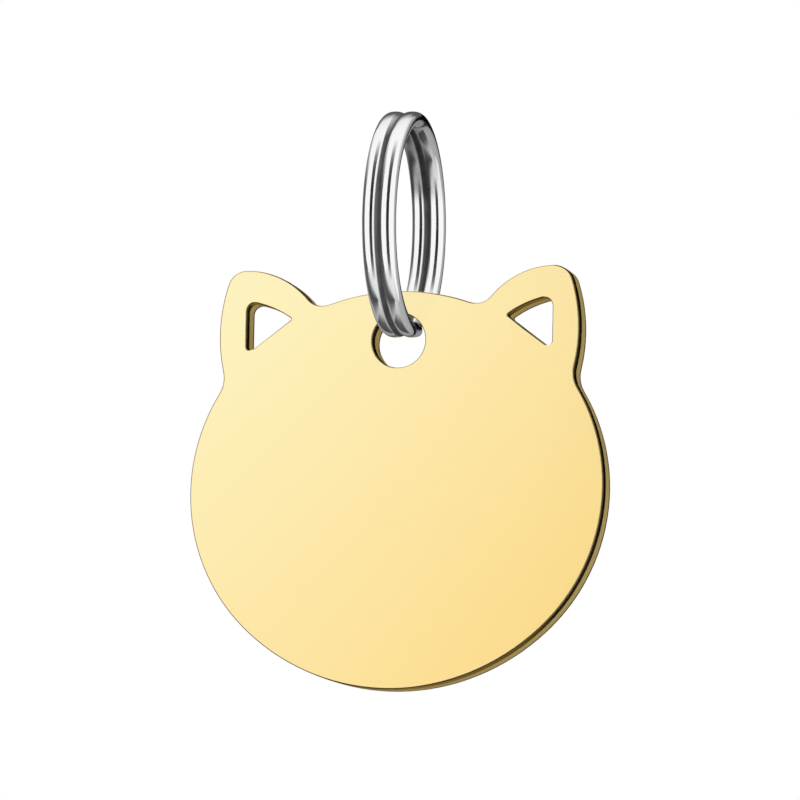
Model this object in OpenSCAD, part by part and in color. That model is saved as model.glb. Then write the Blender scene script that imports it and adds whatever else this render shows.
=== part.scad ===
// Pet id tag: a cat-head plate hung on a two-turn split ring.
// Millimetres. +Z is up, the plate's front faces -Y, and the origin is the highest point inside the ring's eye.

/* [Split ring] */
// Outer diameter of the ring
ring_d = 15; // [12:0.5:18]
// Thickness of the wire across the ring, from the eye outwards
wire_radial = 1.0; // [0.8:0.05:1.1]
// Width of the wire along the ring's axis
wire_axial = 0.92; // [0.6:0.01:1]
// Open gap between the two turns
coil_gap = 0.44; // [0.42:0.01:0.5]
// Arc over which the wire steps from one turn to the other
sidestep_arc = 36; // [36:12:60]
// Where the middle of that step lies, in degrees from the ring's rear point, upwards
sidestep_at = 300; // [288:6:324]

/* [Plate] */
// Thickness of the plate
plate_t = 2.1; // [1.5:0.1:2.5]
// Width of the head, without the ears
head_w = 28.24; // [26:0.01:32]
// Height of the head, without the ears
head_h = 26.5; // [25:0.1:27]
// Angle above and below the level at which the head's side arcs pass into its top and bottom ones
head_side_angle = 46; // [35:1:50]
// Diameter of the hanging hole
hole_d = 3.6; // [3.5:0.05:4.2]
// Metal left between the hole and the head's top edge
hole_rim = 1.5; // [1.2:0.05:2]
// Room between the wires and the wall of the hole
swing_clearance = 0.12; // [0.1:0.01:0.3]

/* [Ears] */
// Height of the ears' tops over the head's top edge
ear_rise = 1.56; // [1:0.01:2.5]
// How far the ears' outer sides lie in from the head's sides
ear_inset = 1.81; // [1.2:0.01:2.2]
// Distance from each ear's outer side in to its highest point
ear_peak_in = 1.78; // [1.2:0.01:2.4]
// Depth of the ears' widest place under the head's top edge
ear_waist_drop = 2.75; // [2.2:0.05:3.5]
// Radius of each ear's top side
ear_top_r = 5.6; // [5:0.1:6.5]
// Radius of each ear's outer side
ear_side_r = 11; // [9:0.5:14]
// Radius of each ear's tip
ear_tip_r = 1.35; // [0.8:0.05:1.6]
// Radius of the hollow between the ear and the top of the head
inner_hollow_r = 1.3; // [0.8:0.05:2]
// Radius of the hollow between the ear and the side of the head
outer_hollow_r = 1.9; // [1:0.05:2.5]

/* [Ear windows] */
// Metal left between the window and the ear's outer side
window_side_rim = 1.88; // [1.4:0.01:2]
// Metal left over the window's upper corner, up to the height of the ear's top
window_top_rim = 2.08; // [1.6:0.01:2.4]
// Height of the window's outer side
window_h = 3.52; // [3:0.02:4]
// Width of the window, from its outer side to its inner corner
window_w = 3.06; // [2.6:0.01:3.5]
// Drop of the inner corner under the upper one
window_corner_drop = 1.22; // [1:0.01:1.6]
// Bow of the window's upper side
window_top_bow = 0.19; // [0.1:0.01:0.4]
// Bow of the window's other two sides
window_side_bow = 0.01; // [0.01:0.01:0.1]
// Radius of the window's upper corner
window_top_corner_r = 0.55; // [0.3:0.05:0.7]
// Radius of the window's lower corner
window_low_corner_r = 0.26; // [0.1:0.01:0.35]
// Radius of the window's inner corner
window_inner_corner_r = 0.08; // [0.05:0.01:0.2]

/* [Hidden] */

// How far a cut runs past what it cuts
overrun = 0.5;
// Most that a straight side of an outline may stand off its true arc
chord_error = 0.004;
// Least share of a step between an arc's end and the next point along it
end_step_share = 0.4;
// Turn from one section of the wire to the next, a whole part of a full turn, in degrees
wire_step = 6;
// Sides of the wire's section
wire_sides = 12;
// Facets of the hanging hole
hole_facets = 96;

// Places along the ring's axis and up the object
coil_pitch = wire_axial + coil_gap;
eye_r = ring_d / 2 - wire_radial;
wire_mid_r = ring_d / 2 - wire_radial / 2;
ring_centre_z = -eye_r;
// The wire's height over the lowest point of its own line, where it enters the plate
entry_drop = sqrt(pow(wire_mid_r, 2) - pow(plate_t / 2, 2));
// Height of the wires over the hole's centre that leaves the room asked for
wire_over_hole = sqrt(pow(hole_d / 2 - swing_clearance - wire_radial / 2, 2) - pow(coil_pitch / 2, 2));
hole_z = ring_centre_z - entry_drop - wire_over_hole;
crown_z = hole_z + hole_d / 2 + hole_rim;
head_z = crown_z - head_h / 2;

// Plane geometry, with +X to the right and +Y up the plate. A circle is [centre, radius, bulge], where
// bulge is 1 if the metal, or the opening, lies inside the circle, and -1 if it lies outside.

function direction(p) = atan2(p.y, p.x);
function circle_at(centre, r, bulge = 1) = [centre, r, bulge];
function flipped(c) = circle_at([-c[0].x, c[0].y], c[1], c[2]);

// The point, of the two where circles meet, that lies nearer a given one
function circles_meet(c1, r1, c2, r2, near) =
    let (
        d = c2 - c1,
        span = norm(d),
        along = (span * span + r1 * r1 - r2 * r2) / (2 * span),
        aside = sqrt(max(0, r1 * r1 - along * along)),
        foot = c1 + d / span * along,
        side = [-d.y, d.x] / span * aside
    )
    norm(foot + side - near) < norm(foot - side - near) ? foot + side : foot - side;

// Circle through two points whose arc bows out to the left of the way from p to q
function bowed(p, q, bow) =
    let (d = q - p, span = norm(d), r = (span * span / 4 + bow * bow) / (2 * bow))
    circle_at((p + q) / 2 + [-d.y, d.x] / span * (bow - r), r);

// Corner of radius r that rounds off two circles from inside both, near a given point
function round_corner(p, q, r, near) = circle_at(circles_meet(p[0], p[1] - r, q[0], q[1] - r, near), r);

// Hollow of radius r that joins two circles from outside both, near a given point
function hollow(p, q, r, near) = circle_at(circles_meet(p[0], p[1] + r, q[0], q[1] + r, near), r, -1);

// Way from the centre of one circle to where it touches the next one of its outline
function to_touch(circle, other) =
    circle[2] == other[2] && circle[1] < other[1] ? circle[0] - other[0] : other[0] - circle[0];

// Angles of an arc's points: its first end, then the whole steps before its last end.
// The steps divide a quarter turn, so that the outermost point of each wide arc is one of them.
function arc_angles(circle, first, turn) =
    let (
        way = sign(turn),
        step = 90 / ceil(90 / (2 * acos(1 - chord_error / circle[1]))),
        from = ceil(way * first / step + end_step_share),
        to = floor(way * (first + turn) / step - end_step_share)
    )
    concat([first], [for (k = [from:1:to]) way * k * step]);

// Closed outline through a chain of circles that touch in turn
function outline(chain) = [
    for (k = [0:len(chain) - 1])
    let (
        circle = chain[k],
        first = direction(to_touch(circle, chain[(k + len(chain) - 1) % len(chain)])),
        last = direction(to_touch(circle, chain[(k + 1) % len(chain)])),
        way = (last - first) % 360,
        turn = way > 180 ? way - 360 : way < -180 ? way + 360 : way
    )
    for (a = arc_angles(circle, first, turn)) circle[0] + circle[1] * [cos(a), sin(a)]
];

// The head: an oval of four arcs, drawn about its own centre
side_radii_gap = (head_w - head_h) / 2 / (sin(head_side_angle) + cos(head_side_angle) - 1);
side_centre_x = side_radii_gap * cos(head_side_angle);
crown_centre_drop = side_radii_gap * sin(head_side_angle);
head_crown = circle_at([0, -crown_centre_drop], head_h / 2 + crown_centre_drop);
head_chin = circle_at([0, crown_centre_drop], head_h / 2 + crown_centre_drop);
head_side = circle_at([side_centre_x, 0], head_w / 2 - side_centre_x);

// The right ear: its top side and its outer side, from the same centre
ear_top_y = head_h / 2 + ear_rise;
ear_waist_y = head_h / 2 - ear_waist_drop;
ear_outer_x = head_w / 2 - ear_inset;
ear_peak_x = ear_outer_x - ear_peak_in;
ear_top = circle_at([ear_peak_x, ear_top_y - ear_top_r], ear_top_r);
ear_side = circle_at([ear_outer_x - ear_side_r, ear_waist_y], ear_side_r);
ear_tip = round_corner(ear_top, ear_side, ear_tip_r, [ear_outer_x, ear_top_y]);
inner_hollow = hollow(head_crown, ear_top, inner_hollow_r, [ear_peak_x / 2, head_h / 2]);
outer_hollow = hollow(ear_side, head_side, outer_hollow_r, [ear_outer_x, head_h / 4]);

// The outline, clockwise from the head's top edge
right_side = [inner_hollow, ear_top, ear_tip, ear_side, outer_hollow, head_side];
left_side = [for (k = [len(right_side) - 1:-1:0]) flipped(right_side[k])];
head_chain = concat([head_crown], right_side, [head_chin], left_side);

// The right ear's window, as corners and the sides that follow them, clockwise from the upper corner
window_outer_x = ear_outer_x - window_side_rim;
window_top_y = ear_top_y - window_top_rim;
window_corners = [
    [window_outer_x, window_top_y],
    [window_outer_x, window_top_y - window_h],
    [window_outer_x - window_w, window_top_y - window_corner_drop]
];
window_corner_radii = [window_top_corner_r, window_low_corner_r, window_inner_corner_r];
window_side_bows = [window_side_bow, window_side_bow, window_top_bow];

function after(k) = (k + 1) % 3;
function before(k) = (k + 2) % 3;
function window_side(k) = bowed(window_corners[k], window_corners[after(k)], window_side_bows[k]);
function window_corner(k) =
    round_corner(window_side(before(k)), window_side(k), window_corner_radii[k], window_corners[k]);
window_chain = [for (k = [0:2]) each [window_corner(k), window_side(k)]];

// Stands an outline up in the plane of the plate, centred on the plate's thickness
module upright(chain, thickness) {
    translate([0, thickness / 2, head_z])
        rotate([90, 0, 0])
            linear_extrude(height = thickness)
                polygon(outline(chain));
}

module tag_plate() {
    cut_t = plate_t + 2 * overrun;
    color([0.93, 0.78, 0.42])
        difference() {
            upright(head_chain, plate_t);
            for (side = [0, 1])
                mirror([side, 0, 0])
                    upright(window_chain, cut_t);
            translate([0, cut_t / 2, hole_z])
                rotate([90, 0, 0])
                    cylinder(h = cut_t, d = hole_d, $fn = hole_facets);
        }
}

// The wire's own line: one turn beside the other, with one sidestep between them.
// It starts and ends square to the ring, just past the step on either side.
wire_start = sidestep_at - 360 + sidestep_arc / 2;
wire_end = sidestep_at + 360 - sidestep_arc / 2;
step_start = sidestep_at - sidestep_arc / 2;

// Share of the sidestep done at an angle along the wire, eased at both ends, and its rate in radians
function sidestep_share(a) =
    let (u = min(1, max(0, (a - step_start) / sidestep_arc)))
    (1 - cos(180 * u)) / 2;
function sidestep_rate(a) =
    let (u = min(1, max(0, (a - step_start) / sidestep_arc)))
    90 * sin(180 * u) / sidestep_arc;

function outwards(a) = [0, cos(a), sin(a)];
function wire_point(a) =
    [coil_pitch * (sidestep_share(a) - 0.5), 0, ring_centre_z] + wire_mid_r * outwards(a);
function wire_heading(a) =
    let (v = [coil_pitch * sidestep_rate(a), 0, 0] + wire_mid_r * [0, -sin(a), cos(a)])
    v / norm(v);

// One section of the wire at an angle along it
function wire_section(a) =
    let (out = outwards(a), across = cross(wire_heading(a), out))
    [
        for (k = [0:wire_sides - 1])
        let (b = 360 * k / wire_sides)
        wire_point(a) + out * wire_radial / 2 * cos(b) + across * wire_axial / 2 * sin(b)
    ];

// The first and last steps are two together, so each end runs straight for over one wire's thickness
wire_angles = concat(
    [wire_start],
    [for (a = [wire_start + 2 * wire_step:wire_step:wire_end - 2 * wire_step]) a],
    [wire_end]
);
wire_sections = [for (a = wire_angles) wire_section(a)];

// Least distance between the turns' surfaces, measured on the points of sections about a turn apart
least_gap = min([
    for (i = [0:len(wire_angles) - 1], j = [i:len(wire_angles) - 1])
    if (abs(wire_angles[j] - wire_angles[i] - 360) < sidestep_arc)
    for (p = wire_sections[i], q = wire_sections[j]) norm(p - q)
]);
echo(least_gap_between_turns = least_gap);

// Closed tube through the sections of the wire, from one free end to the other
module tube(sections) {
    n = wire_sides;
    last = len(sections) - 1;
    polyhedron(
        points = [for (section = sections) each section],
        faces = concat(
            [for (k = [1:n - 2]) [0, k, k + 1]],
            [for (k = [1:n - 2]) [last * n, last * n + k + 1, last * n + k]],
            [for (s = [0:last - 1], k = [0:n - 1]) [s * n + k, (s + 1) * n + k, s * n + (k + 1) % n]],
            [for (s = [0:last - 1], k = [0:n - 1])
                [s * n + (k + 1) % n, (s + 1) * n + k, (s + 1) * n + (k + 1) % n]]
        )
    );
}

module split_ring() {
    color([0.78, 0.79, 0.8]) tube(wire_sections);
}

split_ring();
tag_plate();
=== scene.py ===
"""Pet id tag: a gold cat-head plate on a wound steel ring, in a plain white studio.

Metres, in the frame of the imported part: +Z is up, the plate's front faces -Y, and the origin is the
highest point inside the ring's eye.
"""
import logging
from contextlib import contextmanager
from dataclasses import dataclass
from enum import Enum
from math import atan2, cos, pi, radians, sin
from typing import Any, Callable, Iterator, Optional, Sequence, Union

import bmesh
import bpy
from mathutils import Matrix, Vector


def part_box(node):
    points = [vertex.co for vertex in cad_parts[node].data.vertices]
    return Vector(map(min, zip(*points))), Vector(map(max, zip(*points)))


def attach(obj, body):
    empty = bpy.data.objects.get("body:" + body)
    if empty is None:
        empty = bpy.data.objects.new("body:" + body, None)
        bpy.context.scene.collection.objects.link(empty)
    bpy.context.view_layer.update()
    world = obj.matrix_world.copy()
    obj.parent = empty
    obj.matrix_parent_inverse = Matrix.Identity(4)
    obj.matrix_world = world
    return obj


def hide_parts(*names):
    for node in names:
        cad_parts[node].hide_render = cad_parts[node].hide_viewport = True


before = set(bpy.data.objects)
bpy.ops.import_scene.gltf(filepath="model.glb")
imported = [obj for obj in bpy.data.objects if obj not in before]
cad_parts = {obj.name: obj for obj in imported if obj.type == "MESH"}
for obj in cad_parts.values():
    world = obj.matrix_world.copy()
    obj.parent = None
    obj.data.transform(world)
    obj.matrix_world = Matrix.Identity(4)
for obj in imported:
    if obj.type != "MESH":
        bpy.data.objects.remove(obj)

MM = 0.001
IMAGE_PX = 800
SENSOR_MM = 36.0

# Points closer than this are one point, and edges sharper than this stay sharp
WELD = 0.0005 * MM
CREASE = radians(50)

# The sockets by which a Mix node mixes colours, and the colours that a card's points carry
MIX_FACTOR = 0
MIX_COLOURS = (6, 7)
MIX_RESULT = 2
TONE = "tone"

log = logging.getLogger("pet_id_tag")


class Rim(Enum):
    """The two flat sides of the plate, by the sign of Y."""

    FRONT = -1
    REAR = 1


class Lie(Enum):
    """How a cloth lies round the tag: up over it, as a wall, or round the line through its faces."""

    ARCH = "arch"
    WALL = "wall"
    ROUND = "round"


Colour = tuple[float, float, float]
Span = tuple[float, float]
Value = Union["Signal", float, Sequence[float]]


class Signal:
    """A shader socket that takes part in plain arithmetic."""

    def __init__(self, sheet: "NodeSheet", socket: bpy.types.NodeSocket) -> None:
        """Wrap an output socket.

        Args:
            sheet: The node sheet that the socket belongs to.
            socket: The output to be used in expressions.
        """
        self.sheet = sheet
        self.socket = socket

    def _math(self, operation: str, *values: Value) -> "Signal":
        """Add one Math node and return its result."""
        return self.sheet.node("ShaderNodeMath", {"operation": operation}, dict(enumerate(values)))

    def __add__(self, other: Value) -> "Signal":
        """Sum."""
        return self._math("ADD", self, other)

    def __radd__(self, other: Value) -> "Signal":
        """Sum, reflected."""
        return self._math("ADD", other, self)

    def __sub__(self, other: Value) -> "Signal":
        """Difference."""
        return self._math("SUBTRACT", self, other)

    def __rsub__(self, other: Value) -> "Signal":
        """Difference, reflected."""
        return self._math("SUBTRACT", other, self)

    def __mul__(self, other: Value) -> "Signal":
        """Product."""
        return self._math("MULTIPLY", self, other)

    def __rmul__(self, other: Value) -> "Signal":
        """Product, reflected."""
        return self._math("MULTIPLY", other, self)

    def __truediv__(self, other: Value) -> "Signal":
        """Quotient."""
        return self._math("DIVIDE", self, other)

    def __abs__(self) -> "Signal":
        """Size without sign."""
        return self._math("ABSOLUTE", self)

    def over(self, low: float, high: float) -> "Signal":
        """Smooth mask that rises from 0 at low to 1 at high.

        Args:
            low: Value at which the mask is 0.
            high: Value at which the mask is 1.

        Returns:
            The mask, between 0 and 1.
        """
        settings = {"interpolation_type": "SMOOTHSTEP"}
        inputs = {"Value": self, "From Min": low, "From Max": high}
        return self.sheet.node("ShaderNodeMapRange", settings, inputs)


class NodeSheet:
    """The node tree of one material or of the world, filled by short calls."""

    def __init__(self, owner: Union[bpy.types.Material, bpy.types.World]) -> None:
        """Empty the owner's tree.

        Args:
            owner: The material or world whose nodes are written.
        """
        owner.use_nodes = True
        self.tree = owner.node_tree
        self.tree.nodes.clear()
        kind = "World" if isinstance(owner, bpy.types.World) else "Material"
        self.surface = self.tree.nodes.new(f"ShaderNodeOutput{kind}").inputs["Surface"]

    def _feed(self, target: bpy.types.NodeSocket, value: Value) -> None:
        """Link a signal into a socket, or set a plain value on it.

        Args:
            target: The socket to feed.
            value: A signal, a number, a vector, or a colour without its alpha.
        """
        if isinstance(value, Signal):
            self.tree.links.new(value.socket, target)
        elif target.type == "RGBA":
            target.default_value = (*value, 1.0)
        else:
            target.default_value = value

    def node(
        self,
        kind: str,
        settings: Optional[dict[str, Any]] = None,
        inputs: Optional[dict[Union[str, int], Value]] = None,
        output: Union[str, int] = 0,
    ) -> Signal:
        """Add a node, set its settings, then feed its sockets.

        Args:
            kind: The node's type.
            settings: Attributes of the node, set before its sockets are fed.
            inputs: Values or signals, by socket name or number.
            output: The output to return.

        Returns:
            The node's output as a signal.
        """
        node = self.tree.nodes.new(kind)
        for name, value in (settings or {}).items():
            setattr(node, name, value)
        for name, value in (inputs or {}).items():
            self._feed(node.inputs[name], value)
        return Signal(self, node.outputs[output])

    def blend(self, factor: Value, first: Value, second: Value) -> Signal:
        """Mix two colours.

        Args:
            factor: Share of the second colour.
            first: Colour where the factor is 0.
            second: Colour where the factor is 1.

        Returns:
            The mixed colour.
        """
        inputs = {MIX_FACTOR: factor, MIX_COLOURS[0]: first, MIX_COLOURS[1]: second}
        return self.node("ShaderNodeMix", {"data_type": "RGBA"}, inputs, MIX_RESULT)

    def place(self) -> tuple[Signal, Signal, Signal]:
        """Object coordinates, split into X, Y and Z."""
        return self._split(self.node("ShaderNodeTexCoord", output="Object"))

    def facing(self) -> tuple[Signal, Signal, Signal]:
        """The surface's direction in the object's own space, split into X, Y and Z."""
        return self._split(self.node("ShaderNodeTexCoord", output="Normal"))

    def _split(self, vector: Signal) -> tuple[Signal, Signal, Signal]:
        """Parts of a vector signal."""
        x, y, z = self.node("ShaderNodeSeparateXYZ", inputs={0: vector}).socket.node.outputs
        return Signal(self, x), Signal(self, y), Signal(self, z)

    def mark(self, name: str) -> Signal:
        """A number noted on the piece's mesh."""
        return self.node("ShaderNodeAttribute", {"attribute_name": name}, output="Fac")

    def grain(self, x: Value, y: Value, z: Value, detail: float = 2.0) -> Signal:
        """Noise at a place given in grains, between 0 and 1.

        Args:
            x: First coordinate, one unit a grain.
            y: Second coordinate, one unit a grain.
            z: Third coordinate, one unit a grain.
            detail: Number of finer layers.

        Returns:
            The noise's strength.
        """
        where = self.node("ShaderNodeCombineXYZ", inputs={0: x, 1: y, 2: z})
        return self.node("ShaderNodeTexNoise", inputs={"Vector": where, "Scale": 1.0, "Detail": detail})

    def bump(self, height: Signal, distance: float) -> Signal:
        """Normal of a surface raised by a height signal, at most by the distance."""
        return self.node("ShaderNodeBump", inputs={"Height": height, "Distance": distance, "Strength": 1.0})

    def metal(
        self,
        colour: Value,
        grazing: Colour,
        metallic: Value,
        roughness: Value,
        normal: Signal,
    ) -> None:
        """End the sheet in a metal's surface.

        Args:
            colour: What the metal mirrors head on.
            grazing: What is left of a reflection at a flat angle.
            metallic: Share of metal against dull dust.
            roughness: How far the mirror is blurred.
            normal: The surface's direction, with its fine relief.
        """
        inputs = {
            "Base Color": colour,
            "Specular Tint": grazing,
            "Metallic": metallic,
            "Roughness": roughness,
            "Normal": normal,
        }
        self.finish(self.node("ShaderNodeBsdfPrincipled", inputs=inputs))

    def finish(self, shader: Signal) -> None:
        """Send a shader to the tree's surface output."""
        self._feed(self.surface, shader)


def new_sheet(name: str) -> tuple[bpy.types.Material, NodeSheet]:
    """A new material with an empty node sheet.

    Args:
        name: The material's name.

    Returns:
        The material and its sheet.
    """
    material = bpy.data.materials.new(name)
    return material, NodeSheet(material)


@dataclass(frozen=True)
class PlateGold:
    """Pale polished gold plating: smooth faces, a burnished wall at the front, and a sheared one behind it.

    Two painted dark reflections follow the outline as dark lines: one near the rear face, and one at the
    front rim, which a painted highlight lightens where it faces up. Depths run back from the front face. A
    span holds the values between which a mask rises from 0 to 1. A facing is the share of the surface's
    direction that points out of the plate's flat sides. A polishing stroke pairs its slant with its lines'
    length, in widths.
    """

    face: Colour = (0.965, 0.765, 0.365)
    grazing: Colour = (0.64, 0.54, 0.38)
    face_roughness: float = 0.08
    fine_roughness: float = 0.03
    haze_grain: float = 6.0 * MM
    haze_detail: float = 3.0
    polish_grain: float = 0.05 * MM
    polish_detail: float = 1.0
    polish_height: float = 0.02
    polish_strokes: tuple[Span, ...] = ((radians(28), 90.0), (radians(-51), 60.0))
    relief: float = 0.004 * MM

    wall_facing: Span = (0.25, 0.45)
    sheared: Colour = (0.84, 0.64, 0.21)
    shear_depth: Span = (0.72 * MM, 0.82 * MM)
    shear_least: float = 0.6
    shear_roughness: float = 0.36
    shear_metal: float = 0.8
    tear_grain: float = 0.035 * MM
    tear_length: float = 0.6 * MM
    tear_colour: float = 0.5
    tear_roughness: float = 0.16

    # Painted dark reflection: a dark line along the rear edge
    rear_edge_reflection: Colour = (0.08, 0.05, 0.01)
    rear_edge_reflection_facing: Span = (0.75, 0.95)
    rear_edge_reflection_strength: float = 0.97
    rear_edge_reflection_from_rear: Span = (0.36 * MM, 0.31 * MM)

    # Painted dark reflection: a dark hairline along the front rim
    rim: Colour = (0.03, 0.02, 0.007)
    rim_reflection_facing: Span = (0.86, 0.97)
    rim_reflection_depth: Span = (0.06 * MM, 0.09 * MM)
    rim_reflection_strength: float = 0.96
    # Painted highlight that lightens the front rim's dark line where the rim faces up
    up_highlight_turn: float = radians(15)
    up_highlight_facing: Span = (0.5, 0.68)
    up_highlight_strength: float = 0.78

    def material(self, front_y: float, rear_y: float) -> bpy.types.Material:
        """The plate's material, in the plate's own coordinates.

        Args:
            front_y: Y of the plate's front face.
            rear_y: Y of its rear face.

        Returns:
            The material.
        """
        material, sheet = new_sheet("polished_plate_gold")
        x, y, z = sheet.place()
        face_x, face_y, face_z = sheet.facing()
        across = abs(face_y)
        polish = self._polish(sheet, x, z)
        haze = sheet.grain(x / self.haze_grain, y / self.haze_grain, z / self.haze_grain, self.haze_detail)
        tears = sheet.grain(x / self.tear_grain, y / self.tear_length, z / self.tear_grain)
        shear_from, shear_to = self.shear_depth
        sheared = (1 - across.over(*self.wall_facing)) * y.over(front_y + shear_from, front_y + shear_to)
        mottled = sheared * (self.shear_least + self.tear_colour * tears)
        colour = sheet.blend(mottled, self.face, self.sheared)
        # Painted dark reflection along the rear edge
        reflection_from, reflection_to = self.rear_edge_reflection_from_rear
        rear_edge_reflection = (1 - across.over(*self.rear_edge_reflection_facing)) * y.over(rear_y - reflection_from, rear_y - reflection_to)
        colour = sheet.blend(rear_edge_reflection * self.rear_edge_reflection_strength, colour, self.rear_edge_reflection)
        # Painted dark reflection along the front rim
        rim_from, rim_to = self.rim_reflection_depth
        rim = (1 - across.over(*self.rim_reflection_facing)) * (1 - y.over(front_y + rim_from, front_y + rim_to))
        # Painted highlight where the front rim faces up
        up_highlight = (cos(self.up_highlight_turn) * face_z - sin(self.up_highlight_turn) * face_x).over(*self.up_highlight_facing)
        colour = sheet.blend(rim * (self.rim_reflection_strength - self.up_highlight_strength * up_highlight), colour, self.rim)
        rough = self.face_roughness + self.fine_roughness * (haze + polish - 1)
        rougher = self.shear_roughness - self.face_roughness + self.tear_roughness * (tears - 0.5)
        height = polish * self.polish_height * (1 - sheared) + sheared * tears
        sheet.metal(
            colour=colour,
            grazing=self.grazing,
            metallic=1 - sheared * (1 - self.shear_metal),
            roughness=rough + sheared * rougher,
            normal=sheet.bump(height, self.relief),
        )
        return material

    def _polish(self, sheet: NodeSheet, x: Signal, z: Signal) -> Signal:
        """Hair-fine polishing lines in two directions across the face.

        Args:
            sheet: The sheet to draw on.
            x: Object X.
            z: Object Z.

        Returns:
            The lines' strength, between 0 and 1.
        """
        lines = []
        for slant, stretch in self.polish_strokes:
            along = x * cos(slant) + z * sin(slant)
            aside = z * cos(slant) - x * sin(slant)
            length = self.polish_grain * stretch
            lines.append(sheet.grain(along / length, aside / self.polish_grain, 0.0, self.polish_detail))
        return (lines[0] + lines[1]) * 0.5


@dataclass(frozen=True)
class RingSteel:
    """Polished steel wire, fine drawing lines along it, painted shade between its turns and high in its
    eye.

    Sizes are in millimetres, as the marks on the ring's mesh are. A span holds the values between which a
    mask rises from 0 to 1: across the ring from left to right, out from its axis, or up from the eye's top.
    """

    wire: Colour = (0.93, 0.935, 0.945)
    grazing: Colour = (0.6, 0.6, 0.61)
    roughness: float = 0.07
    line_grain: float = 0.03
    line_length: float = 4.0
    line_roughness: float = 0.05
    line_depth: float = 0.0006
    patch_detail: float = 3.0
    patch_roughness: float = 0.04
    inside_reach: Span = (6.75, 7.05)

    # Painted shade between the turns: darker beside the left turn, black deep inside the eye
    groove_shade_left: Colour = (0.05, 0.048, 0.047)
    groove_shade_right: Colour = (0.42, 0.42, 0.42)
    deep_shade: Colour = (0.0, 0.0, 0.0)
    groove_turns: Span = (-0.078, 0.26)
    groove_core: float = 0.156
    groove_reach: float = 0.26
    groove_middle: float = -0.035
    groove_least: float = 0.85
    groove_roughness: float = 0.35
    narrow_z: Span = (-6.0, -1.5)
    narrow_shift: float = 0.05
    narrow_gain: float = 0.6
    crown_z: Span = (-1.6, 0.4)
    crown_fade: float = 0.65
    inside_shade: float = 0.65

    # Painted shade high up inside the eye, heavier on its left and patchy
    inner_shade: Colour = (0.22, 0.215, 0.21)
    inner_shade_z: Span = (-4.3, -3.2)
    inner_shade_turns: Span = (0.1, 0.9)
    inner_shade_left: float = 0.75
    inner_shade_right: float = 0.15
    inner_shade_least: float = 0.55
    inner_shade_patches: float = 0.7
    inner_shade_roughness: float = 0.2

    def material(self) -> bpy.types.Material:
        """The ring's material, in the ring's own coordinates.

        Returns:
            The material.
        """
        material, sheet = new_sheet("polished_ring_steel")
        x, y, z = (part / MM for part in sheet.place())
        across, reach, along = (sheet.mark(name) for name in ("across", "reach", "round"))
        lines = sheet.grain(across / self.line_grain, reach / self.line_grain, along / self.line_length)
        patches = sheet.grain(x, y, z, self.patch_detail)
        inside = 1 - reach.over(*self.inside_reach)
        # Painted shade high up inside the eye
        inner_shade = inside * self._inner_shade(across, z, patches)
        colour = sheet.blend(inner_shade, self.wire, self.inner_shade)
        # Painted shade in the groove, darker on its left, and painted shade deep inside the eye
        shade = sheet.blend(across.over(*self.groove_turns), self.groove_shade_left, self.groove_shade_right)
        shade = sheet.blend(self.inside_shade * inside, shade, self.deep_shade)
        groove = self._groove_shade(across, z, 1 - inside)
        patchy_shade = groove * (self.groove_least + (1 - self.groove_least) * patches)
        colour = sheet.blend(patchy_shade, colour, shade)
        rough = self.roughness + self.line_roughness * (lines - 0.5)
        rough = rough + self.patch_roughness * (patches - 0.5)
        sheet.metal(
            colour=colour,
            grazing=self.grazing,
            metallic=1.0,
            roughness=rough + self.groove_roughness * groove + self.inner_shade_roughness * inner_shade,
            normal=sheet.bump(lines, self.line_depth * MM),
        )
        return material

    def _groove_shade(self, across: Signal, z: Signal, outside: Signal) -> Signal:
        """The painted shade between the turns, which narrows up the outside and fades over the crown.

        Args:
            across: Place across the ring.
            z: Height over the eye's top.
            outside: 1 on the ring's outside, 0 inside its eye.

        Returns:
            The painted shade's strength, between 0 and 1.
        """
        upper = z.over(*self.narrow_z) * outside
        aside = abs(across - self.groove_middle + self.narrow_shift * upper)
        groove = 1 - (aside * (1 + self.narrow_gain * upper)).over(self.groove_core, self.groove_reach)
        return groove * (1 - self.crown_fade * z.over(*self.crown_z) * outside)

    def _inner_shade(self, across: Signal, z: Signal, patches: Signal) -> Signal:
        """Patchy painted shade high up in the ring, heavier on its left.

        Args:
            across: Place across the ring.
            z: Height over the eye's top.
            patches: Slow noise, between 0 and 1.

        Returns:
            The painted shade's strength.
        """
        share = self.inner_shade_left - (self.inner_shade_left - self.inner_shade_right) * across.over(*self.inner_shade_turns)
        return z.over(*self.inner_shade_z) * share * (self.inner_shade_least + self.inner_shade_patches * patches)


@dataclass(frozen=True)
class FloorWhite:
    """Matt white board, for the floor."""

    board: Colour = (0.93, 0.93, 0.93)
    mottled: Colour = (0.9, 0.9, 0.9)
    mottle_share: float = 0.3
    mottle_grain: float = 0.4

    def material(self) -> bpy.types.Material:
        """The floor's material.

        Returns:
            The material.
        """
        material, sheet = new_sheet("floor_white")
        mottle = sheet.grain(*(part / self.mottle_grain for part in sheet.place()))
        colour = sheet.blend(mottle * self.mottle_share, self.board, self.mottled)
        sheet.finish(sheet.node("ShaderNodeBsdfDiffuse", inputs={"Color": colour}))
        return material


def deselect_all() -> None:
    """Leave nothing selected, so that the next operator acts on one piece alone."""
    if bpy.context.mode != "OBJECT":
        bpy.ops.object.mode_set(mode="OBJECT")
    bpy.ops.object.select_all(action="DESELECT")


def take(piece: bpy.types.Object) -> None:
    """Select one piece alone, and make it the active one.

    Args:
        piece: The piece that the next operator acts on.
    """
    deselect_all()
    piece.select_set(True)
    bpy.context.view_layer.objects.active = piece


@contextmanager
def editing(piece: bpy.types.Object) -> Iterator[None]:
    """Edit mode on one piece, and back.

    Args:
        piece: The mesh object to edit.
    """
    take(piece)
    bpy.ops.object.mode_set(mode="EDIT")
    yield
    bpy.ops.object.mode_set(mode="OBJECT")


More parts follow.
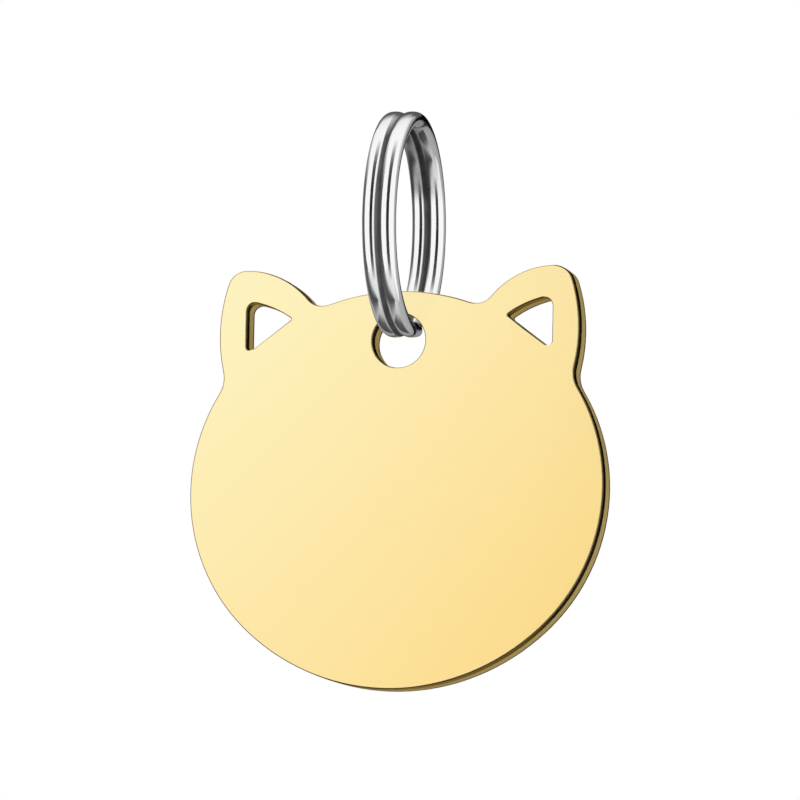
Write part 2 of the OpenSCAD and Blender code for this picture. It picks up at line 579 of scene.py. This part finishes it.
def pick_all() -> None:
    """Select the whole of the mesh that is being edited."""
    bpy.ops.mesh.select_all(action="SELECT")


def pick(piece: bpy.types.Object, kind: str, test: Callable[[Any], bool]) -> int:
    """Select the vertices or edges of the piece being edited that pass a test.

    Args:
        piece: The object in edit mode.
        kind: verts or edges.
        test: What an element must pass.

    Returns:
        The number selected.
    """
    mode = {"verts": "VERT", "edges": "EDGE"}[kind]
    bpy.ops.mesh.select_mode(type=mode)
    bpy.ops.mesh.select_all(action="DESELECT")
    mesh = bmesh.from_edit_mesh(piece.data)
    mesh.normal_update()
    chosen = [item for item in getattr(mesh, kind) if test(item)]
    for item in chosen:
        item.select_set(True)
    mesh.select_flush_mode()
    bmesh.update_edit_mesh(piece.data)
    return len(chosen)


def turn(axis: str, angle: float, centre: Sequence[float]) -> None:
    """Turn what is selected, by the right-hand rule. With no window the operator turns the other way.

    Args:
        axis: X, Y or Z.
        angle: The turn, in radians.
        centre: A point on the axis.
    """
    bpy.ops.transform.rotate(value=-angle, orient_axis=axis, center_override=tuple(centre))


@dataclass
class TagPlate:
    """The flat cat-head plate, with its edges broken and its cut walls as stamping leaves them."""

    front_break: float = 0.09 * MM
    rear_break: float = 0.06 * MM
    break_segments: int = 4
    shear_taper: float = 0.05 * MM
    burnish_depth: float = 0.75 * MM
    step_rise: float = 0.05 * MM
    step_out: float = 0.015 * MM
    one_plane: float = radians(0.2)
    same_y: float = 0.001 * MM
    wall_normal: float = 0.5
    flat_normal: float = 0.999
    flat_share: float = 0.03
    finish: PlateGold = PlateGold()

    def __post_init__(self) -> None:
        """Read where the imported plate's two flat sides lie."""
        low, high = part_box("tag_plate")
        self.side_y = {Rim.FRONT: low[1], Rim.REAR: high[1]}

    def build(self) -> bpy.types.Object:
        """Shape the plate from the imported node, and dress it.

        Returns:
            The finished piece.
        """
        piece = self._copy_of_node()
        with editing(piece):
            self._merge()
            self._cut_step(piece)
            self._taper(piece)
            self._break_rim(piece, Rim.FRONT, self.front_break)
            self._break_rim(piece, Rim.REAR, self.rear_break)
        self._shade(piece)
        piece.data.materials.clear()
        piece.data.materials.append(self.finish.material(self.side_y[Rim.FRONT], self.side_y[Rim.REAR]))
        piece.visible_glossy = False
        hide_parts("tag_plate")
        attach(piece, "plate")
        return piece

    def _copy_of_node(self) -> bpy.types.Object:
        """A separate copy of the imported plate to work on.

        Returns:
            The copy, in the scene.
        """
        mesh = bpy.data.objects["tag_plate"].data.copy()
        mesh.name = "cat_head_plate"
        piece = bpy.data.objects.new("cat_head_plate", mesh)
        bpy.context.scene.collection.objects.link(piece)
        return piece

    def _merge(self) -> None:
        """Join the loose triangles, and make each flat area whole."""
        pick_all()
        bpy.ops.mesh.remove_doubles(threshold=WELD)
        bpy.ops.mesh.dissolve_limited(angle_limit=self.one_plane)

    def _cut_step(self, piece: bpy.types.Object) -> None:
        """Set the burnished band next to the front face in by a hair, which leaves a fine step.

        Args:
            piece: The plate in edit mode.
        """
        front_y = self.side_y[Rim.FRONT]
        step_y = front_y + self.burnish_depth
        for level in (step_y, step_y + self.step_rise):
            pick_all()
            bpy.ops.mesh.bisect(plane_co=(0, level, 0), plane_no=(0, 1, 0))
        pick(piece, "verts", lambda vert: vert.co.y < step_y + self.same_y)
        bpy.ops.transform.shrink_fatten(value=-self.step_out, use_even_offset=True)
        pick(piece, "verts", lambda vert: vert.co.y < front_y + self.burnish_depth / 2)
        self._level(piece, front_y)

    def _taper(self, piece: bpy.types.Object) -> None:
        """Draw the wall in towards the rear, as a sheared edge leans.

        Args:
            piece: The plate in edit mode.
        """
        rear_y = self.side_y[Rim.REAR]
        pick(piece, "verts", lambda vert: vert.co.y > rear_y - self.same_y)
        bpy.ops.transform.shrink_fatten(value=-self.shear_taper, use_even_offset=True)
        self._level(piece, rear_y)

    def _level(self, piece: bpy.types.Object, level: float) -> None:
        """Put the selected flat side back at its own Y.

        Args:
            piece: The plate in edit mode.
            level: The side's Y.
        """
        mesh = bmesh.from_edit_mesh(piece.data)
        slipped = next(vert.co.y for vert in mesh.verts if vert.select) - level
        bpy.ops.transform.translate(value=(0, -slipped, 0))

    def _break_rim(self, piece: bpy.types.Object, rim: Rim, width: float) -> None:
        """Round off one flat side's edges.

        Args:
            piece: The plate in edit mode.
            rim: Which flat side.
            width: Width of the break.
        """

        def on_rim(edge: bmesh.types.BMEdge) -> bool:
            """Whether an edge lies between the flat side and a wall.

            Args:
                edge: An edge of the plate.

            Returns:
                True if it does.
            """
            if any(abs(vert.co.y - self.side_y[rim]) > self.same_y for vert in edge.verts):
                return False
            return any(abs(face.normal.y) < self.wall_normal for face in edge.link_faces)

        count = pick(piece, "edges", on_rim)
        bpy.ops.mesh.bevel(
            affect="EDGES", offset_type="OFFSET", offset=width, segments=self.break_segments,
            clamp_overlap=False,
        )
        log.info("broke %d edges of the %s side", count, rim.name.lower())

    def _shade(self, piece: bpy.types.Object) -> None:
        """Smooth shading on the walls and breaks that leans only where the metal does.

        Args:
            piece: The shaped plate, out of edit mode.
        """
        take(piece)
        bpy.ops.object.shade_smooth_by_angle(angle=CREASE)
        mesh = piece.data
        sideways = [corner.vector.copy() for corner in mesh.corner_normals]
        normals = []
        for face in mesh.polygons:
            for loop in face.loop_indices:
                place = mesh.vertices[mesh.loops[loop].vertex_index].co
                lean = self._lean(place.y, face.normal.y)
                aside = Vector((sideways[loop].x, 0, sideways[loop].z)).normalized()
                normals.append(aside * (1 - lean**2) ** 0.5 + Vector((0, lean, 0)))
        mesh.normals_split_custom_set(normals)

    def _lean(self, y: float, wall: float) -> float:
        """The Y part of the surface's direction: quarter rounds at the breaks, and the wall between.

        Args:
            y: The place's Y.
            wall: The Y part of the face's own direction.

        Returns:
            From -1 on the front face to 1 on the rear.
        """
        if abs(wall) > self.flat_normal:
            return 1.0 if wall > 0 else -1.0
        front = (y - self.side_y[Rim.FRONT]) / self.front_break
        if front < 1:
            return -1.0 if front < self.flat_share else front - 1
        rear = (self.side_y[Rim.REAR] - y) / self.rear_break
        if rear < 1:
            return 1.0 if rear < self.flat_share else 1 - rear
        return wall


@dataclass
class SplitRing:
    """The wound ring: one wire in two turns that touch, with a sidestep and two free ends."""

    wire_across: float = 1.12 * MM
    wire_radial: float = 1.0 * MM
    section_sides: int = 40
    section_profile: float = 0.58
    pitch: float = 1.13 * MM
    turn_steps: int = 162
    sidestep_at: float = radians(300)
    sidestep_arc: float = radians(36)
    sidestep_steps: int = 18
    end_break: float = 0.07 * MM
    hang_turn: float = radians(1.35)
    hang_lean: float = radians(1.0)
    hang_shift: float = 0.05 * MM
    hang_room: float = 0.015 * MM
    finish: RingSteel = RingSteel()

    def __post_init__(self) -> None:
        """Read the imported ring's middle, and the radius that its wire runs at."""
        low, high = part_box("split_ring")
        self.centre = Vector((0, 0, (low[2] + high[2]) / 2))
        self.mid_r = (high[2] - low[2]) / 2 - self.hang_room - self.wire_radial / 2

    def build(self) -> bpy.types.Object:
        """Wind the ring, hang it as the photograph has it, and dress it.

        Returns:
            The finished piece.
        """
        piece = self._first_section()
        with editing(piece):
            pick_all()
            self._swell_end(grow=True)
            self._wind()
            self._sidestep()
            self._wind()
            self._swell_end(grow=False)
            pick_all()
            bpy.ops.mesh.remove_doubles(threshold=WELD)
            bpy.ops.mesh.normals_make_consistent(inside=False)
        self._mark_places(piece)
        with editing(piece):
            pick_all()
            turn("Z", self.hang_turn, self.centre)
            turn("Y", self.hang_lean, self.centre)
            bpy.ops.transform.translate(value=(-self.hang_shift, 0, 0))
        take(piece)
        bpy.ops.object.shade_smooth_by_angle(angle=CREASE)
        piece.data.materials.clear()
        piece.data.materials.append(self.finish.material())
        piece.visible_glossy = False
        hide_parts("split_ring")
        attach(piece, "ring")
        return piece

    def _first_section(self) -> bpy.types.Object:
        """The wire's free end: a disc square to the ring, at the start of the first turn.

        Returns:
            The piece, which is the disc alone so far.
        """
        deselect_all()
        bpy.ops.mesh.primitive_plane_add(size=self.wire_radial)
        piece = bpy.context.object
        piece.name = "wound_ring"
        piece.data.name = "wound_ring"
        with editing(piece):
            pick_all()
            bpy.ops.mesh.bevel(
                affect="VERTICES", offset=self.wire_radial / 2, segments=self.section_sides // 4,
                profile=self.section_profile, clamp_overlap=False,
            )
            pick_all()
            bpy.ops.mesh.remove_doubles(threshold=WELD)
            widen = self.wire_across / self.wire_radial
            bpy.ops.transform.resize(value=(widen, 1, 1), center_override=(0, 0, 0))
            bpy.ops.transform.translate(value=(-self.pitch / 2, self.mid_r, 0))
            turn("X", self.sidestep_at + self.sidestep_arc / 2, (0, 0, 0))
            bpy.ops.transform.translate(value=self.centre)
        return piece

    def _swell_end(self, grow: bool) -> None:
        """Add the broken edge of a free end.

        Args:
            grow: True at the first end, which swells to the full wire; False at the last, which narrows.
        """
        share = 1 - 2 * self.end_break / self.wire_radial
        if grow:
            bpy.ops.transform.resize(value=(share, share, share))
        bpy.ops.mesh.extrude_region_move(TRANSFORM_OT_translate={"value": (0, 0, 0)})
        turn("X", self.end_break / self.mid_r, self.centre)
        change = 1 / share if grow else share
        bpy.ops.transform.resize(value=(change, change, change))

    def _wind(self) -> None:
        """Wind the wire on round the ring, as far as the sidestep."""
        arc = 2 * pi - self.sidestep_arc
        bpy.ops.mesh.spin(steps=self.turn_steps, angle=arc, center=self.centre, axis=(-1, 0, 0))

    def _sidestep(self) -> None:
        """Lead the wire over from the first turn to the second."""
        done = 0.0
        for step in range(1, self.sidestep_steps + 1):
            share = (1 - cos(pi * step / self.sidestep_steps)) / 2
            shift = self.pitch * (share - done)
            bpy.ops.mesh.extrude_region_move(TRANSFORM_OT_translate={"value": (shift, 0, 0)})
            turn("X", self.sidestep_arc / self.sidestep_steps, self.centre)
            done = share

    def _mark_places(self, piece: bpy.types.Object) -> None:
        """Note on the mesh where each point lies: across the ring, out from its axis, and along its wire.

        Args:
            piece: The ring, before it is hung.
        """
        for name, measure in (
            ("across", lambda place: place.x),
            ("reach", lambda place: (place - self.centre).yz.length),
            ("round", lambda place: atan2(place.z - self.centre.z, place.y) * self.mid_r),
        ):
            marks = piece.data.attributes.new(name, "FLOAT", "POINT")
            for vertex, mark in zip(piece.data.vertices, marks.data):
                mark.value = measure(vertex.co) / MM


def new_card(name: str, columns: int, rows: int) -> tuple[bpy.types.Object, bpy.types.Attribute]:
    """A flat grid with light of its own, which shows only where the metal mirrors it.

    Args:
        name: The card's name.
        columns: Cells along its X.
        rows: Cells along its Y.

    Returns:
        The card, from -1 to 1 both ways, and the tones of its points, still to be set.
    """
    deselect_all()
    bpy.ops.mesh.primitive_grid_add(x_subdivisions=columns, y_subdivisions=rows, size=2)
    card = bpy.context.object
    card.name = name
    tones = card.data.color_attributes.new(TONE, "FLOAT_COLOR", "POINT")
    material, sheet = new_sheet(name)
    tone = sheet.node("ShaderNodeVertexColor", {"layer_name": TONE})
    sheet.finish(sheet.node("ShaderNodeEmission", inputs={"Color": tone, "Strength": 1.0}))
    card.data.materials.append(material)
    card.visible_camera = False
    card.visible_diffuse = False
    card.visible_shadow = False
    card.visible_transmission = False
    return card, tones


@dataclass(frozen=True)
class Flag:
    """A curved strip of toned cloth round the tag, seen only in the metal.

    Its middle line lies at turn degrees: the azimuth for an arch or a wall, and for a round tape the angle
    off the line that runs back through the plate. Stops pair a place along the strip with its brightness
    there, in degrees up from the level, or for a round tape in degrees round from the right. Falloff is the
    share of that brightness lost at the strip's sides, or gained where it is negative.
    """

    name: str
    lie: Lie
    turn: float
    half_width: float
    stops: tuple[Span, ...]
    falloff: float = 0.0
    tint: Colour = (1.0, 1.0, 1.0)
    radius: float = 1000 * MM
    rows: int = 48
    columns: int = 12

    def build(self, middle: Vector) -> bpy.types.Object:
        """Hang the strip and tone it.

        Args:
            middle: The middle of the tag, which the strip lies round.

        Returns:
            The strip.
        """
        strip, tones = new_card(self.name, self.columns, self.rows)
        low, high = self.stops[0][0], self.stops[-1][0]
        for vertex, mark in zip(strip.data.vertices, tones.data):
            rise = low + (high - low) * (vertex.co.y + 1) / 2
            side = vertex.co.x
            vertex.co = middle + self.radius * self._direction(radians(rise), side)
            shade = self._tone(rise) * (1 - self.falloff * side**2)
            mark.color = (*(shade * part for part in self.tint), 1)
        return strip

    def _direction(self, rise: float, side: float) -> Vector:
        """Where a point of the strip lies, seen from the tag.

        Args:
            rise: Place along the strip, in radians up from the level.
            side: Place across the strip, from -1 to 1.

        Returns:
            A direction of length 1.
        """
        turned = radians(self.turn)
        swing = radians(self.half_width) * side
        if self.lie is Lie.ROUND:
            off = turned + swing
            return Vector((sin(off) * cos(rise), cos(off), sin(off) * sin(rise)))
        if self.lie is Lie.WALL:
            turned += swing
        ahead = Vector((sin(turned), -cos(turned), 0))
        along = ahead * cos(rise) + Vector((0, 0, sin(rise)))
        if self.lie is Lie.WALL:
            return along
        return along * cos(swing) + Vector((cos(turned), sin(turned), 0)) * sin(swing)

    def _tone(self, rise: float) -> float:
        """The strip's brightness at a place along it, straight between stops.

        Args:
            rise: Place along the strip, in degrees.

        Returns:
            The brightness, where 1 is white.
        """
        for (low, first), (high, last) in zip(self.stops[:-1], self.stops[1:]):
            if rise <= high:
                return first + (last - first) * (rise - low) / (high - low)
        return self.stops[-1][1]


@dataclass(frozen=True)
class KeyPanel:
    """The far soft panel that the plate's face mirrors: cooler up and left, warmer down and right."""

    warm: Colour = (1.02, 0.92, 0.67)
    cool: Colour = (1.03, 1.2, 1.53)
    distance: float = 400 * MM
    half_size: float = 27 * MM
    ramp: float = 50 * MM
    ramp_turn: float = radians(43)
    cells: int = 8

    def build(self, camera_back: Vector) -> bpy.types.Object:
        """Hang the panel where the face mirrors it to the camera.

        Args:
            camera_back: Direction from the tag to the camera.

        Returns:
            The panel.
        """
        ahead = Vector((-camera_back.x, camera_back.y, -camera_back.z))
        aside = Vector((-ahead.y, ahead.x, 0)).normalized()
        rise = ahead.cross(aside)
        low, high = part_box("tag_plate")
        middle = (low + high) / 2
        panel, tones = new_card("key_panel", self.cells, self.cells)
        for vertex, mark in zip(panel.data.vertices, tones.data):
            x, z = vertex.co.x * self.half_size, vertex.co.y * self.half_size
            share = 0.5 + (z * sin(self.ramp_turn) - x * cos(self.ramp_turn)) / self.ramp
            share = min(1.0, max(0.0, share))
            colour = (warm + (cool - warm) * share for warm, cool in zip(self.warm, self.cool))
            mark.color = (*colour, 1)
            vertex.co = middle + ahead * self.distance + aside * x + rise * z
        return panel


@dataclass
class Studio:
    """White surroundings, a floor, and the dark cloths that give polished metal its lines."""

    floor_z: float = -330 * MM
    floor_size: float = 6.0
    world: Colour = (1.0, 1.0, 1.0)
    world_strength: float = 1.0

    def build(self, camera_back: Vector) -> None:
        """Set up the world, the floor and the cloths.

        Args:
            camera_back: Direction from the tag to the camera.
        """
        self._world()
        self._floor()
        KeyPanel().build(camera_back)
        chin_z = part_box("tag_plate")[0][2]
        crown_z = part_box("split_ring")[1][2]
        for flag in self._flags():
            flag.build(Vector((0, 0, (chin_z + crown_z) / 2)))

    def _flags(self) -> list[Flag]:
        """The cloths, by the directions in which the object sees them.

        The arch and the walls give the ring its stripes and the plate's back its tone, and the tape darkens
        the plate's cut wall.

        Returns:
            The cloths, still to be hung.
        """
        strip_low = ((-68, 0.9), (-58, 0.5), (-47, 0.14), (-38, 0.06), (8, 0.02))
        strip_high = ((33, 0.04), (54, 0.1), (66, 0.28), (78, 0.7), (88, 1.0))
        low = ((-89.5, 0.72), (-75, 0.84), (-61, 0.86), (-50, 0.96))
        low_rear = ((-89.5, 0.72), (-75, 0.6), (-60, 0.45), (-26, 0.46))
        low_dark = ((-64, 0.4), (-50, 0.12), (-26, 0.08))
        low_left = ((-89.5, 0.1), (-75, 0.07), (-40, 0.07))
        left = ((-41, 0.1), (25, 0.12), (38, 0.5), (50, 1.0))
        rear = ((-26, 0.46), (20, 0.42), (32, 0.7), (44, 1.0))
        rear_high = ((8, 0.13), (36, 0.16), (46, 0.6), (54, 1.0))
        edge = ((-208, 0.06), (-175, 0.12), (-152, 0.36), (-102, 0.2), (-78, 0.12), (-60, 0.0), (152, 0.0))
        return [
            Flag("front_strip", Lie.ARCH, 0.5, 11, strip_low + strip_high, radius=430 * MM),
            Flag("low_front_cloth", Lie.WALL, 15, 100, low, falloff=0.35),
            Flag("low_rear_cloth", Lie.WALL, 195, 80, low_rear),
            Flag("low_dark_cloth", Lie.WALL, 200, 18, low_dark, radius=980 * MM),
            Flag("low_left_cloth", Lie.WALL, 264, 44, low_left, falloff=-6.0, radius=960 * MM),
            Flag("left_cloth", Lie.WALL, 272, 30, left, radius=980 * MM),
            Flag("rear_cloth", Lie.WALL, 183, 78, rear),
            Flag("rear_high_cloth", Lie.WALL, 195, 32, rear_high, radius=980 * MM),
            Flag("edge_tape", Lie.ROUND, 17, 2.6, edge, tint=(1.0, 0.8, 0.36), radius=950 * MM),
        ]

    def _world(self) -> None:
        """Even white light from all round."""
        world = bpy.data.worlds.new("white_studio")
        bpy.context.scene.world = world
        sheet = NodeSheet(world)
        inputs = {"Color": self.world, "Strength": self.world_strength}
        sheet.finish(sheet.node("ShaderNodeBackground", inputs=inputs))

    def _floor(self) -> None:
        """A wide floor far under the hanging tag."""
        deselect_all()
        bpy.ops.mesh.primitive_plane_add(size=self.floor_size)
        floor = bpy.context.object
        floor.name = "studio_floor"
        floor.data.transform(Matrix.Translation((0, 0, self.floor_z)))
        floor.data.materials.append(FloorWhite().material())
        floor.visible_glossy = False


@dataclass
class PhotoCamera:
    """A long lens, a little under the tag and to its right."""

    azimuth: float = radians(15.1)
    elevation: float = radians(-7.8)
    roll: float = radians(1.12)
    lens_mm: float = 600.0
    px_per_mm: float = 15.19
    chin_px: tuple[float, float] = (391.8, 689.0)
    clip_near: float = 0.01
    clip_far: float = 20.0

    def back(self) -> Vector:
        """Direction from the tag to the camera."""
        a, e = self.azimuth, self.elevation
        return Vector((sin(a) * cos(e), -cos(a) * cos(e), sin(e)))

    def build(self) -> bpy.types.Object:
        """Place the camera by where the chin of the plate's face lies in the picture.

        Returns:
            The camera.
        """
        back = self.back()
        level = Vector((cos(self.azimuth), sin(self.azimuth), 0))
        rise = back.cross(level)
        right = level * cos(self.roll) + rise * sin(self.roll)
        up = rise * cos(self.roll) - level * sin(self.roll)
        low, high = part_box("tag_plate")
        chin = Vector(((low[0] + high[0]) / 2, low[1], low[2]))
        px = MM / self.px_per_mm
        middle = IMAGE_PX / 2
        aim = chin + right * (middle - self.chin_px[0]) * px + up * (self.chin_px[1] - middle) * px
        distance = IMAGE_PX * self.lens_mm / SENSOR_MM * px
        data = bpy.data.cameras.new("photo_camera")
        data.lens = self.lens_mm
        data.sensor_width = SENSOR_MM
        data.sensor_fit = "HORIZONTAL"
        data.clip_start = self.clip_near
        data.clip_end = self.clip_far
        camera = bpy.data.objects.new("photo_camera", data)
        bpy.context.scene.collection.objects.link(camera)
        turned = Matrix((right, up, back)).transposed().to_4x4()
        camera.matrix_world = Matrix.Translation(aim + back * distance) @ turned
        bpy.context.scene.camera = camera
        return camera


def set_view() -> None:
    """Show colours as they are written."""
    bpy.context.scene.view_settings.view_transform = "Standard"


def main() -> None:
    """Build the camera, the studio and the two pieces, and note the sizes."""
    logging.basicConfig(level=logging.INFO, format="%(name)s: %(message)s")
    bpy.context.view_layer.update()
    set_view()
    camera = PhotoCamera()
    camera.build()
    Studio().build(camera.back())
    for part in (TagPlate(), SplitRing()):
        piece = part.build()
        log.info("%s has %d faces", piece.name, len(piece.data.polygons))


if __name__ == "__main__":
    main()
